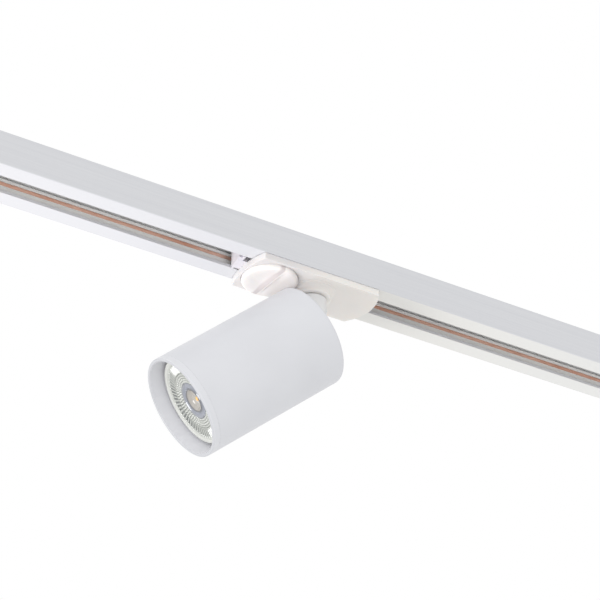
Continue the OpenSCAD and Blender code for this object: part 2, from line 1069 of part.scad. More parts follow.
// Plan of the two bayonet slots: arcs at the pins' radius, open over the
// unlocking angle and wide enough for a round piece of the given radius
module bayonet_plan(half_width) {
    mid = pin_spacing / 2;
    reach = 3 * mid;
    spare = asin(half_width / mid);
    for (turn = [90, 270])
        rotate(turn)
            intersection() {
                difference() {
                    circle(mid + half_width);
                    circle(mid - half_width);
                }
                polygon([
                    [0, 0],
                    reach * [cos(-spare), sin(-spare)],
                    reach * [cos(unlock_angle + spare), sin(unlock_angle + spare)]
                ]);
            }
}

module lampholder() {
    neck_low = holder_face - holder_neck;
    chamber_low = shoulder_z - pin_length - 1;
    color("white")
        in_head()
            difference() {
                rod(holder_r, bracket_top, holder_face);
                translate([0, 0, neck_low])
                    linear_extrude(holder_neck + cut)
                        bayonet_plan(pin_r + pin_play);
                translate([0, 0, chamber_low])
                    linear_extrude(neck_low - chamber_low)
                        bayonet_plan(pin_head_r + pin_play);
                for (turn = [90, 270])
                    rotate([0, 0, turn + unlock_angle])
                        translate([pin_spacing / 2, 0, 0])
                            rod(pin_head_r + pin_play / 2, neck_low - cut, holder_face + cut);
                for (x = [-holder_screw_x, holder_screw_x])
                    translate([x, 0, 0]) {
                        rod(holder_screw_r + screw_play, bracket_top - cut, holder_face + cut);
                        rod(holder_screw_head_r + screw_play, holder_face - holder_screw_sink,
                            holder_face + cut);
                    }
            }
}

module holder_screws() {
    seat = holder_face - holder_screw_sink;
    color("silver")
        in_head()
            for (x = [-holder_screw_x, holder_screw_x])
                translate([x, 0, 0])
                    union() {
                        rod(holder_screw_r, holder_screw_end, seat);
                        rod(holder_screw_head_r, seat, seat + holder_screw_head_t);
                    }
}

// Two leads from the lampholder back towards the knuckle
module head_leads() {
    color("firebrick")
        in_head()
            for (side = [-1, 1])
                lead([for (p = head_route) [side * p.x, side * p.y, p.z]]);
}

// ---------- Lamp ----------

// Outline of the lamp's body behind its rim, from the rim in to the neck
function lamp_outline(inset) =
    let (
        rim_z = face_z - lamp_rim_h,
        rim_r = lamp_r - lamp_step
    )
    [for (i = [0:lamp_curve_steps])
        let (t = i / lamp_curve_steps)
        [rim_r - (rim_r - lamp_neck_r) * pow(t, lamp_curve) - inset,
         rim_z - (rim_z - lamp_neck_z) * t]];

module lamp_housing() {
    inner = lamp_outline(lamp_wall);
    lens_low = face_z - bezel_t - lens_t;
    color("gainsboro")
        in_head()
            rotate_extrude($fn = 144)
                polygon(concat(
                    [[lamp_r, lens_low], [lamp_r, face_z - lamp_rim_h]],
                    lamp_outline(0),
                    [
                        [lamp_neck_r, lamp_neck_z - lamp_neck_h],
                        [base_r, base_top],
                        [base_r - base_wall, base_top]
                    ],
                    [for (i = [lamp_curve_steps:-1:0]) inner[i]],
                    [[lamp_r - lamp_wall, lens_low]]
                ));
}

module lamp_bezel() {
    color("lightgray")
        in_head()
            difference() {
                ring(lamp_r, lamp_r - bezel_w, face_z - bezel_t - lens_t, face_z);
                rod(lamp_r - bezel_w / 2, face_z - bezel_t - lens_t - cut, face_z - bezel_t);
            }
}

// Front optic: a flat disc under the bezel that narrows to a cup round the LED
module lamp_lens() {
    face = face_z - bezel_t;
    back = board_z + board_t + led_t;
    color("white", 0.5)
        in_head()
            rotate_extrude($fn = 144)
                polygon([
                    [0, face - lens_step],
                    [lamp_r - bezel_w - lens_step, face - lens_step],
                    [lamp_r - bezel_w - lens_step, face],
                    [lamp_r - bezel_w / 2, face],
                    [lamp_r - bezel_w / 2, face - lens_t],
                    [lamp_r - 2 * bezel_w, face - lens_t],
                    [led_r + cup_wall + cup_foot_w, back + cup_gap],
                    [led_r + cup_wall, back + cup_gap],
                    [led_r, face - cup_depth],
                    [0, face - cup_depth + cup_crown]
                ]);
}

module led_board() {
    color("seagreen")
        in_head()
            rod(board_r, board_z, board_z + board_t);
}

module led_package() {
    color("gold")
        in_head()
            rod(led_r, board_z + board_t, board_z + board_t + led_t);
}

module driver_board() {
    color("seagreen")
        in_head()
            bar(-driver_t / 2, driver_t / 2, driver_w, lamp_neck_z, lamp_neck_z + driver_l);
}

module lamp_base() {
    color("white")
        in_head()
            difference() {
                rod(base_r, shoulder_z, base_top);
                rod(base_r - base_wall, shoulder_z + base_floor_t, lamp_neck_z);
                for (side = [-1, 1])
                    translate([0, side * pin_spacing / 2, 0])
                        rod(pin_r, shoulder_z - cut, shoulder_z + base_floor_t + cut);
            }
}

module lamp_pins() {
    color("silver")
        in_head()
            for (side = [-1, 1])
                translate([0, side * pin_spacing / 2, 0])
                    union() {
                        rod(pin_r, shoulder_z - pin_length, shoulder_z + pin_grip);
                        rod(pin_head_r, shoulder_z - pin_length,
                            shoulder_z - pin_length + pin_head_t);
                    }
}

track_profile();
insulator_live();
insulator_neutral();
conductor_live();
conductor_neutral();
end_cap_left();
end_cap_right();
end_cap_screws();
adapter_cover();
contact_housing();
adapter_screws();
live_spring_contact();
neutral_spring_contact();
earth_spring();
adapter_leads();
lock_knob();
lock_cam();
contact_rotor();
live_blade();
neutral_blade();
rotor_screw();
swivel_stem();
swivel_washer();
swivel_nut();
stem_leads();
head_shell();
head_ring();
hinge_block();
hinge_block_screws();
tilt_screw();
tilt_nut();
tilt_washers();
holder_bracket();
bracket_screws();
lampholder();
holder_screws();
head_leads();
lamp_housing();
lamp_bezel();
lamp_lens();
led_board();
led_package();
driver_board();
lamp_base();
lamp_pins();
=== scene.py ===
import json
import math

import bmesh
import bpy
from mathutils import Matrix, Vector


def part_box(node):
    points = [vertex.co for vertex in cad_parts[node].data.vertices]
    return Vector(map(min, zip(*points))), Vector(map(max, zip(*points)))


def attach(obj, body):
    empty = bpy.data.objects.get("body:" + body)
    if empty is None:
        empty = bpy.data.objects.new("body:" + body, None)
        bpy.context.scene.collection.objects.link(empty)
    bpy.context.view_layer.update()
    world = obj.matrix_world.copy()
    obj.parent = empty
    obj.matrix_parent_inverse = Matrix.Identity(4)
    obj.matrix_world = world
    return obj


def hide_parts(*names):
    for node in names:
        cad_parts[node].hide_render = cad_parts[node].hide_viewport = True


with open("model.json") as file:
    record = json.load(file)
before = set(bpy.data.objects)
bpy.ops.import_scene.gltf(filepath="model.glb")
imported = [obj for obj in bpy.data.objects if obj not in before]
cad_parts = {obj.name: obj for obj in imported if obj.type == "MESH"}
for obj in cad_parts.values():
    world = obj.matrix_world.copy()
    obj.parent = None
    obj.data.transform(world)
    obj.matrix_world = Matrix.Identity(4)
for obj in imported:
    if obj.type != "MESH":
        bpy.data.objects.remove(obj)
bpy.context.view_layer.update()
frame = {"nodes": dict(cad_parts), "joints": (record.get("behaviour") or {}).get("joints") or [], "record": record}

MM = 0.001

# ---------- Places and axes, from the frame ----------

joints = {joint["name"]: joint for joint in frame["joints"]}
slot_of = {part["node"]: part["material_slot"] for part in frame["record"]["subparts"]}
body_of = {
    node: body
    for body, nodes in frame["record"]["behaviour"]["bodies"].items()
    for node in nodes
}
pivot = Vector(joints["tilt"]["pos_m"])
head_axis = Vector(joints["lamp_twist"]["axis"]).normalized()
tilt_axis = Vector(joints["tilt"]["axis"]).normalized()
knob_axis = Vector(joints["lock_turn"]["pos_m"])


def head_frame():
    """Matrix of the head's own frame: Z along the head towards the lamp, Y along the tilt axis."""
    z = head_axis
    y = -tilt_axis
    x = y.cross(z)
    rotation = Matrix((x, y, z)).transposed().to_4x4()
    return Matrix.Translation(pivot) @ rotation


HEAD = head_frame()
HEAD_INVERSE = HEAD.inverted()


def head_span(node):
    """Lowest and highest place of a CAD node along the head's axis, and its largest radius."""
    local = [HEAD_INVERSE @ v.co for v in frame["nodes"][node].data.vertices]
    heights = [p.z for p in local]
    radius = max(math.hypot(p.x, p.y) for p in local)
    return min(heights), max(heights), radius


RING_WALL = 1.9 * MM
_, FRONT, RING_RADIUS = head_span("head_ring")
BORE_RADIUS = RING_RADIUS - RING_WALL

# ---------- Material tools ----------


def srgb(red, green, blue):
    """Linear colour of a screen colour given from 0 to 255."""
    def linear(value):
        share = value / 255
        return share / 12.92 if share <= 0.04045 else ((share + 0.055) / 1.055) ** 2.4
    return (linear(red), linear(green), linear(blue), 1.0)


class Look:
    """A Principled material with a few short ways to add procedural detail."""

    def __init__(self, name, colour, roughness, metallic=0.0, specular=0.5):
        self.material = bpy.data.materials.new(name)
        self.material.use_nodes = True
        tree = self.material.node_tree
        self.nodes = tree.nodes
        self.links = tree.links
        self.shader = self.nodes["Principled BSDF"]
        self.set("Base Color", colour)
        self.set("Roughness", roughness)
        self.set("Metallic", metallic)
        self.set("Specular IOR Level", specular)
        self.coords = self.nodes.new("ShaderNodeTexCoord").outputs["Object"]
        self.normal = None

    def set(self, socket, value):
        self.shader.inputs[socket].default_value = value

    def node(self, kind, inputs=(), **settings):
        made = self.nodes.new(kind)
        for key, value in settings.items():
            setattr(made, key, value)
        for key, value in dict(inputs).items():
            if isinstance(value, bpy.types.NodeSocket):
                self.links.new(value, made.inputs[key])
            else:
                made.inputs[key].default_value = value
        return made

    def stretched(self, stretch):
        """Object coordinates multiplied along each axis."""
        made = self.node("ShaderNodeMapping", {"Vector": self.coords, "Scale": stretch})
        return made.outputs["Vector"]

    def noise(self, per_metre, stretch=(1, 1, 1), detail=3.0, roughness=0.5):
        """Noise whose cells are about 1 / per_metre across."""
        made = self.node(
            "ShaderNodeTexNoise",
            {
                "Vector": self.stretched(stretch),
                "Scale": per_metre,
                "Detail": detail,
                "Roughness": roughness,
            },
        )
        return made.outputs["Fac"]

    def ramp(self, value, low, high, at=(0.0, 1.0)):
        """Colour from low to high as value goes between the two places in at."""
        made = self.node("ShaderNodeValToRGB", {"Fac": value})
        first, last = made.color_ramp.elements
        first.position, last.position = at
        first.color, last.color = low, high
        return made.outputs["Color"]

    def spread(self, value, low, high, start=0.0, end=1.0):
        """Number from low to high as value goes from start to end."""
        made = self.node(
            "ShaderNodeMapRange",
            {"Value": value, "From Min": start, "From Max": end, "To Min": low, "To Max": high},
        )
        return made.outputs["Result"]

    def zone(self, value, start, end, low=0.0, high=1.0):
        """Number from low to high as a place in metres passes from start to end, given in mm."""
        return self.spread(value, low, high, start=start * MM, end=end * MM)

    def math(self, operation, first, second=0.0):
        made = self.node("ShaderNodeMath", {0: first, 1: second}, operation=operation)
        return made.outputs["Value"]

    def blend(self, share, first, second):
        """Colour that goes from first to second as share goes from 0 to 1."""
        made = self.node("ShaderNodeMix", data_type="RGBA")
        for socket, value in ((0, share), (6, first), (7, second)):
            if isinstance(value, bpy.types.NodeSocket):
                self.links.new(value, made.inputs[socket])
            else:
                made.inputs[socket].default_value = value
        return made.outputs[2]

    def axes(self, vector=None):
        """X, Y and Z of a vector, or of the object coordinates."""
        made = self.node("ShaderNodeSeparateXYZ", {"Vector": vector or self.coords})
        return made.outputs["X"], made.outputs["Y"], made.outputs["Z"]

    def round_axes(self, vector=None):
        """Distance from the Z axis, and Z, of a vector or of the object coordinates."""
        x, y, z = self.axes(vector)
        squares = self.math("ADD", self.math("MULTIPLY", x, x), self.math("MULTIPLY", y, y))
        return self.math("SQRT", squares), z

    def in_head(self):
        """Radius from the head's axis, and place along it, from the object coordinates."""
        place, turn, _ = HEAD_INVERSE.decompose()
        made = self.node(
            "ShaderNodeMapping",
            {"Vector": self.coords, "Location": place, "Rotation": turn.to_euler("XYZ")},
        )
        return self.round_axes(made.outputs["Vector"])

    def colour(self, value):
        self.links.new(value, self.shader.inputs["Base Color"])

    def roughness(self, value):
        self.links.new(value, self.shader.inputs["Roughness"])

    def bump(self, height, depth, strength=1.0):
        """Bump of the given depth in metres, added over any bump already there."""
        inputs = {"Height": height, "Distance": depth, "Strength": strength}
        if self.normal is not None:
            inputs["Normal"] = self.normal
        self.normal = self.node("ShaderNodeBump", inputs).outputs["Normal"]
        self.links.new(self.normal, self.shader.inputs["Normal"])


# ---------- Materials ----------


def coat_look(name, colour, shade, roughness):
    """Powder coat with a fine orange-peel skin: its look, and its faintly changing tone."""
    look = Look(name, colour, roughness)
    tone = look.ramp(look.noise(28, detail=2.0), shade, colour, at=(0.3, 0.7))
    look.roughness(look.spread(look.noise(1400), roughness - 0.05, roughness + 0.07))
    look.bump(look.noise(2600, detail=2.0), 0.00003, 0.35)
    look.bump(look.noise(700, detail=1.0), 0.00004, 0.2)
    return look, tone


def paint(name, colour, shade, roughness):
    """Plain powder coat."""
    look, tone = coat_look(name, colour, shade, roughness)
    look.colour(tone)
    return look.material


def tube_paint(name, colour, shade):
    """Powder coat on the head, with painted light paler in the bore and painted shade darker on the front edge."""
    look, outside = coat_look(name, colour, shade, 0.42)
    radius, along = look.in_head()
    bore = BORE_RADIUS / MM
    front = FRONT / MM
    # Painted light: the bore is paler, standing in for light that reaches into it.
    inside = look.zone(radius, bore + 0.2, bore + 0.6, low=1.0, high=0.0)
    # Painted shade: the front edge is darker, standing in for less light falling on it.
    edge = look.zone(along, front - 0.5, front - 0.1)
    painted = look.blend(inside, outside, srgb(234, 234, 239))
    look.colour(look.blend(edge, painted, srgb(180, 181, 185)))
    return look.material


def track_paint():
    """Painted extrusion with faint drawing lines, and painted light: a paler lower face whose tone changes along
    the track, and a bright inside.
    """
    look = Look("track_paint", srgb(212, 213, 217), 0.36)
    lines = look.noise(900, stretch=(0.01, 1, 1), detail=4.0)
    outside = look.ramp(lines, srgb(209, 210, 214), srgb(215, 216, 219), at=(0.25, 0.75))
    along, across, height = look.axes()
    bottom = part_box("track_profile")[0].z / MM
    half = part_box("track_profile")[1].y / MM
    # Painted light: the inside of the groove above the lips is near white, standing in for light that reaches into
    # it.
    above_lips = look.zone(height, bottom + 1.75, bottom + 1.85)
    in_walls = look.zone(look.math("ABSOLUTE", across), half - 0.9, half - 0.7, low=1.0, high=0.0)
    inside = look.math("MULTIPLY", above_lips, in_walls)
    # Painted light: the lower face is paler than the sides, brightest just past the stem and plainer towards the
    # far end, following how light falls along the track.
    painted_light_underside = look.zone(height, bottom + 0.05, bottom + 0.2, low=1.0, high=0.0)
    painted_light_past_stem = look.zone(along, 0, 40)
    painted_light_plain_end = look.zone(along, 60, 170)
    pale = look.blend(painted_light_past_stem, srgb(220, 220, 224), srgb(230, 229, 225))
    pale = look.blend(painted_light_plain_end, pale, srgb(222, 222, 220))
    coat = look.blend(painted_light_underside, outside, pale)
    look.colour(look.blend(inside, coat, srgb(248, 248, 248)))
    look.roughness(look.spread(look.noise(500), 0.32, 0.44))
    look.bump(lines, 0.00002, 0.5)
    look.bump(look.noise(2600, detail=2.0), 0.00002, 0.25)
    return look.material


def insulator_plastic():
    """Extruded plastic, with painted shade: a little greyer along its foot."""
    look = Look("insulator_plastic", srgb(248, 249, 247), 0.55)
    lines = look.noise(1200, stretch=(0.01, 1, 1), detail=3.0)
    _, _, height = look.axes()
    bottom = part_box("insulator_live")[0].z / MM
    # Painted shade: the foot is greyer, standing in for the shade low in the groove beside the lip.
    foot = look.zone(height, bottom + 0.5, bottom + 1.6, low=1.0, high=0.0)
    plain = look.ramp(lines, srgb(243, 244, 242), srgb(252, 252, 250), at=(0.3, 0.7))
    look.colour(look.blend(foot, plain, srgb(232, 232, 229)))
    look.bump(lines, 0.00003, 0.5)
    return look.material


def copper():
    """Rolled copper strip with a thin uneven tarnish."""
    look = Look("copper", srgb(232, 182, 160), 0.36, metallic=0.35)
    tarnish = look.noise(45, stretch=(0.5, 1, 1), detail=4.0, roughness=0.6)
    look.colour(look.ramp(tarnish, srgb(214, 150, 122), srgb(246, 204, 184), at=(0.32, 0.66)))
    look.roughness(look.spread(look.noise(1500, stretch=(0.02, 1, 1)), 0.26, 0.42))
    look.bump(look.noise(2400, stretch=(0.01, 1, 1)), 0.00001, 0.6)
    return look.material


def moulded_look(name, colour, roughness, glow, blue=0.7, depth=1.5):
    """A soft spark-eroded skin, with light that goes the depth in mm inside where glow is set."""
    look = Look(name, colour, roughness)
    look.set("Subsurface Weight", glow)
    look.set("Subsurface Radius", (1.0, 0.85, blue))
    look.set("Subsurface Scale", depth * MM)
    look.roughness(look.spread(look.noise(1800), roughness - 0.05, roughness + 0.08))
    look.bump(look.noise(3200, detail=2.0), 0.00002, 0.3)
    return look


def moulded_plastic(name, colour, shade, roughness, glow=0.0):
    """Moulded plastic with a faint change of tone."""
    look = moulded_look(name, colour, roughness, glow)
    look.colour(look.ramp(look.noise(60, detail=3.0), shade, colour, at=(0.3, 0.7)))
    return look.material


def knob_plastic():
    """Moulded plastic of the knob, with painted shade: darker on the long slope of its grip and on the face past
    the grip.
    """
    look = moulded_look("knob_plastic", srgb(248, 242, 240), 0.42, 0.4)
    across, _, _ = look.axes()
    # Painted shade on the long slope of the grip.
    rise = look.zone(across, CREST_X - 3.8, CREST_X - 2.4)
    fall = look.zone(across, CREST_X - 0.8, CREST_X, low=1.0, high=0.0)
    slope = look.math("MULTIPLY", rise, fall)
    # Painted shade on the face past the grip.
    painted_shade_past_grip = look.zone(across, CREST_X + 2.0, CREST_X + 6.0)
    face = look.blend(painted_shade_past_grip, srgb(247, 242, 240), srgb(230, 225, 223))
    look.colour(look.blend(slope, face, srgb(214, 206, 206)))
    return look.material


def cover_plastic():
    """Moulded plastic with painted light: paler and warmer towards the plain end of the cover."""
    look = moulded_look("cover_plastic", srgb(243, 239, 235), 0.36, 0.5, blue=0.75, depth=3.0)
    along, _, _ = look.axes()
    # Painted light: the tone goes from darker and cooler to paler and warmer along the cover, towards its plain
    # end.
    painted_light_base = look.blend(look.zone(along, -24, 6), srgb(221, 218, 218), srgb(238, 234, 229))
    cloud = look.spread(look.noise(60, detail=3.0), 0.0, 0.2, start=0.3, end=0.7)
    look.colour(look.blend(cloud, painted_light_base, srgb(228, 223, 218)))
    return look.material


def plain_metal(name, colour, dark, roughness):
    """Plated or bare metal with fine turning and handling marks."""
    look = Look(name, colour, roughness, metallic=1.0)
    wear = look.noise(350, detail=5.0, roughness=0.65)
    look.colour(look.ramp(wear, dark, colour, at=(0.3, 0.65)))
    look.roughness(look.spread(wear, roughness + 0.12, roughness - 0.06, start=0.3, end=0.7))
    look.bump(look.noise(5000, detail=2.0), 0.00001, 0.4)
    return look.material


def ceramic():
    """Unglazed steatite, dense and very slightly speckled."""
    look = Look("holder_ceramic", srgb(232, 229, 220), 0.62)
    specks = look.noise(2200, detail=2.0)
    look.colour(look.ramp(specks, srgb(214, 210, 199), srgb(236, 233, 225), at=(0.28, 0.42)))
    look.bump(specks, 0.00004, 0.4)
    return look.material


def silicone_sleeve():
    """Rubbery sleeve of the leads."""
    look = Look("lead_silicone", srgb(150, 40, 36), 0.5)
    look.colour(look.ramp(look.noise(300), srgb(134, 32, 30), srgb(164, 48, 42)))
    look.bump(look.noise(2500), 0.00003, 0.5)
    return look.material


def board_laminate(name, colour, shade):
    """Coated board with the faint weave of its cloth."""
    look = Look(name, colour, 0.42)
    weave = look.node(
        "ShaderNodeTexWave",
        {"Vector": look.coords, "Scale": 900.0, "Distortion": 0.6},
    ).outputs["Fac"]
    look.colour(look.ramp(weave, shade, colour, at=(0.2, 0.8)))
    look.bump(weave, 0.00002, 0.4)
    return look.material


def phosphor():
    """Silicone with phosphor powder in it, over the LED chips."""
    look = Look("led_phosphor", srgb(238, 186, 110), 0.3)
    grain = look.noise(3000, detail=3.0)
    look.colour(look.ramp(grain, srgb(228, 166, 88), srgb(246, 212, 150), at=(0.35, 0.65)))
    look.set("Subsurface Weight", 0.2)
    look.set("Subsurface Scale", 0.0008)
    look.bump(grain, 0.00004, 0.6)
    return look.material


def lens_plastic(face):
    """Moulded optic whose face is at a height in mm, with painted shade: dark in its grooves, darker deep in the
    funnel round the bowl, and a dark ring at the bowl's edge.
    """
    look = Look("lens_clear", srgb(170, 174, 168), 0.14, specular=0.7)
    radius, height = look.round_axes()
    # Painted shade: darker the deeper the relief.
    painted_shade_relief_share = look.zone(height, face - RELIEF_DEPTH, face)
    relief = look.ramp(painted_shade_relief_share, srgb(108, 111, 109), srgb(188, 190, 184), at=(0.1, 0.8))
    # Painted shade: darker the deeper the funnel round the bowl.
    painted_shade_funnel_share = look.zone(height, face - THROAT_DEPTH, face)
    painted_shade_funnel = look.ramp(painted_shade_funnel_share, srgb(126, 130, 142), srgb(158, 160, 164))
    past_throat = look.zone(radius, PEARLS_START - 0.2, PEARLS_START + 0.6)
    outer = look.blend(past_throat, painted_shade_funnel, relief)
    bowl = look.ramp(look.noise(420, detail=2.0), srgb(158, 154, 148), srgb(186, 182, 176))
    past_bowl = look.zone(radius, BOWL_EDGE - 0.5, BOWL_EDGE - 0.2)
    # Painted shade: a dark ring at the bowl's edge, where its step lies in shade.
    lip_rise = look.zone(radius, BOWL_EDGE - 0.6, BOWL_EDGE - 0.2, high=0.8)
    lip_fall = look.zone(radius, BOWL_EDGE + 0.3, BOWL_EDGE + 1.0, low=1.0, high=0.0)
    lip = look.math("MULTIPLY", lip_rise, lip_fall)
    look.colour(look.blend(lip, look.blend(past_bowl, bowl, outer), srgb(96, 97, 102)))
    look.set("Coat Weight", 0.7)
    look.set("Coat Roughness", 0.04)
    look.bump(look.noise(1500, detail=2.0), 0.00003, 0.4)
    return look.material


def floor_paint():
    """Pale, even floor with hardly any grain."""
    look = Look("floor_paint", (0.86, 0.86, 0.86, 1.0), 0.8)
    look.colour(look.ramp(look.noise(3), (0.85, 0.85, 0.85, 1.0), (0.88, 0.88, 0.88, 1.0)))
    look.bump(look.noise(60), 0.0005, 0.2)
    return look.material


# ---------- Mesh tools ----------


def piece(name, mesh, body, slot, matrix=None, look=None):
    """A new object that rides on a body and takes a slot's finish, in that slot's look or another."""
    made = bpy.data.objects.new(name, mesh)
    bpy.context.scene.collection.objects.link(made)
    if matrix is not None:
        made.matrix_world = matrix
    mesh.materials.append(looks[look or slot])
    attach(made, body)
    return made


def shade(mesh, angle=32):
    """Smooth shading that breaks at edges sharper than the angle."""
    mesh.shade_smooth()
    mesh.set_sharp_from_angle(angle=math.radians(angle))


def even_normals(made):
    """Keeps flat faces flat-looking beside their rounded edges."""
    modifier = made.modifiers.new("even_normals", "WEIGHTED_NORMAL")
    modifier.keep_sharp = True


def rounded(node, rules):
    """Stands for a CAD node with its sharp edges rounded.

    Each rule is (test of an edge's middle, width, segments). The widest come first."""
    source = frame["nodes"][node]
    work = bmesh.new()
    work.from_mesh(source.data)
    bmesh.ops.remove_doubles(work, verts=work.verts, dist=1e-6)
    bmesh.ops.dissolve_limit(
        work, angle_limit=math.radians(0.4), verts=work.verts, edges=work.edges
    )
    for test, width, segments in rules:
        edges = [
            edge
            for edge in work.edges
            if edge.is_manifold
            and edge.calc_face_angle() > math.radians(50)
            and test((edge.verts[0].co + edge.verts[1].co) / 2)
        ]
        bmesh.ops.bevel(
            work,
            geom=edges,
            offset=width,
            segments=segments,
            profile=0.5,
            affect="EDGES",
            clamp_overlap=True,
        )
    mesh = bpy.data.meshes.new(node + "_rounded")
    work.to_mesh(mesh)
    work.free()
    shade(mesh)
    made = piece(node + "_rounded", mesh, body_of[node], slot_of[node])
    even_normals(made)
    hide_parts(node)
    return made


def anywhere(_):
    """Test that takes every edge."""
    return True


def skin(rings, count, closed=True):
    """Mesh over rings of (radius, height) pairs in mm, one pair or one for each of count turns.

    A ring of radius 0 is a single point."""
    work = bmesh.new()
    rows = []
    for ring in rings:
        pairs = ring if isinstance(ring, list) else [ring] * count
        if pairs[0][0] == 0:
            rows.append([work.verts.new((0, 0, pairs[0][1] * MM))])
            continue
        rows.append([
            work.verts.new((
                r * math.cos(2 * math.pi * k / count) * MM,
                r * math.sin(2 * math.pi * k / count) * MM,
                z * MM,
            ))
            for k, (r, z) in enumerate(pairs)
        ])
    pairs = list(zip(rows, rows[1:]))
    if closed:
        pairs.append((rows[-1], rows[0]))
    for first, second in pairs:
        for k in range(count):
            n = (k + 1) % count
            corners = [first[k % len(first)], second[k % len(second)]]
            if len(second) > 1:
                corners.append(second[n])
            if len(first) > 1:
                corners.append(first[n])
            work.faces.new(corners)
    bmesh.ops.recalc_face_normals(work, faces=work.faces)
    mesh = bpy.data.meshes.new("skin")
    work.to_mesh(mesh)
    work.free()
    return mesh


def smooth_step(value, start, end):
    """Share from 0 to 1, eased at both ends, as value goes from start to end."""
    share = min(1.0, max(0.0, (value - start) / (end - start)))
    return share * share * (3 - 2 * share)


# ---------- Locking knob, in mm ----------

KNOB_TURNS = 180
KNOB_STEPS = 48
KNOB_EDGE = 1.2
EDGE_STEPS = 8
DISH_RADIUS = 13.9
DISH_DEPTH = 1.35
CREST_X = 0.9
SHAFT_RADIUS = 5.5
SCREW_BORE = 1.5
BORE_FLOOR = 4.0
COUNTERBORE = 1.6
CAP_GAP = 1.5


def knob_depth(x, y):
    """Depth of the knob's face at a point: a dish with a rounded grip across it."""
    share = math.hypot(x, y) / DISH_RADIUS
    dish = DISH_DEPTH * (1 - smooth_step(share, 0.3, 1.0))
    side = CREST_X - x
    slope = smooth_step(side, 0.3, 3.7) if side > 0 else smooth_step(-side, 0.2, 1.9)
    return dish * slope


def knob_piece():
    """The knob, built ring by ring, with its shaft and the screw's bore."""
    low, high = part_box("lock_knob")
    centre = Vector((knob_axis.x, knob_axis.y, 0))
    radius = (high.x - low.x) / 2 / MM
    face, top = low.z / MM, high.z / MM
    cap_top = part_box("adapter_cover")[1].z / MM - CAP_GAP
    rings = [(0, face + knob_depth(0, 0))]
    flat = radius - KNOB_EDGE
    for i in range(1, KNOB_STEPS + 1):
        r = flat * i / KNOB_STEPS
        ring = []
        for k in range(KNOB_TURNS):
            turn = 2 * math.pi * k / KNOB_TURNS
            ring.append((r, face + knob_depth(r * math.cos(turn), r * math.sin(turn))))
        rings.append(ring)
    for i in range(1, EDGE_STEPS + 1):
        angle = math.pi / 2 * i / EDGE_STEPS
        rings.append((flat + KNOB_EDGE * math.sin(angle), face + KNOB_EDGE * (1 - math.cos(angle))))
    rings += [
        (radius, cap_top - 0.2), (radius - 0.2, cap_top),
        (SHAFT_RADIUS, cap_top), (SHAFT_RADIUS, top - COUNTERBORE),
        (SCREW_BORE * 2, top - COUNTERBORE), (SCREW_BORE * 2, top),
        (SCREW_BORE, top), (SCREW_BORE, face + BORE_FLOOR), (0, face + BORE_FLOOR),
    ]
    mesh = skin(rings, KNOB_TURNS, closed=False)
    mesh.name = "knob_cap"
    shade(mesh, 35)
    made = piece(
        "knob_cap", mesh, "lock", "cover_plastic", Matrix.Translation(centre), "knob_plastic"
    )
    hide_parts("lock_knob")
    return made


# ---------- Lamp optic, in mm ----------

LENS_TURNS = 360
LENS_STEPS = 84
PRISMS = 60
PRISM_ZONE = (16.4, 22.4)
PRISM_DEPTH = 0.8
PEARL_ROWS = (11.2, 12.6, 14.0, 15.4)
PEARL_PITCH = 1.6
PEARL_DEPTH = 0.6
PEARLS_START = PEARL_ROWS[0] - PEARL_PITCH / 2
PEARLS_END = PEARL_ROWS[-1] + PEARL_PITCH / 2
RELIEF_DEPTH = 0.62
THROAT_DEPTH = 1.1
BOWL_EDGE = 6.6
BOWL_FLOOR = 5.0
BOWL_DEPTH = 2.6
DOME_RADIUS = 1.3
DOME_HEIGHT = 0.5
GLASS_EDGE = 22.6
BEZEL_TURNS = 144


def prism_height(radius, turn):
    """Radial V grooves, faded out at both ends of their zone."""
    low, high = PRISM_ZONE
    if not low < radius < high:
        return 0.0
    ends = min(1.0, (radius - low) / 0.5, (high - radius) / 0.9)
    saw = abs((turn * PRISMS) % 1.0 - 0.5) * 2
    return -PRISM_DEPTH * ends * (1 - saw)


def pearl_height(radius, turn):
    """Rows of small domes on rings round the centre."""
    best = 0.0
    for index, row in enumerate(PEARL_ROWS):
        count = round(2 * math.pi * row / PEARL_PITCH)
        away = abs((turn * count + index / 2) % 1.0 - 0.5) * 2 * math.pi * row / count
        distance = math.hypot(away, radius - row)
        share = distance / (PEARL_PITCH / 2)
        if share < 1:
            best = max(best, math.sqrt(1 - share * share))
    return -PEARL_DEPTH * (1 - best) if PEARLS_START < radius < PEARLS_END else 0.0


def throat_height(radius):
    """The smooth funnel between the pearls and the bowl: it dips, then rises to a lip."""
    if not BOWL_EDGE < radius < PEARLS_START:
        return 0.0
    share = (radius - BOWL_EDGE) / (PEARLS_START - BOWL_EDGE)
    return -THROAT_DEPTH * math.sin(math.pi * share) ** 0.8


def dome_height(radius):
    """Ellipse of the small dome over the LED, in the middle of the bowl."""
    return DOME_HEIGHT * math.sqrt(1 - (radius / DOME_RADIUS) ** 2)


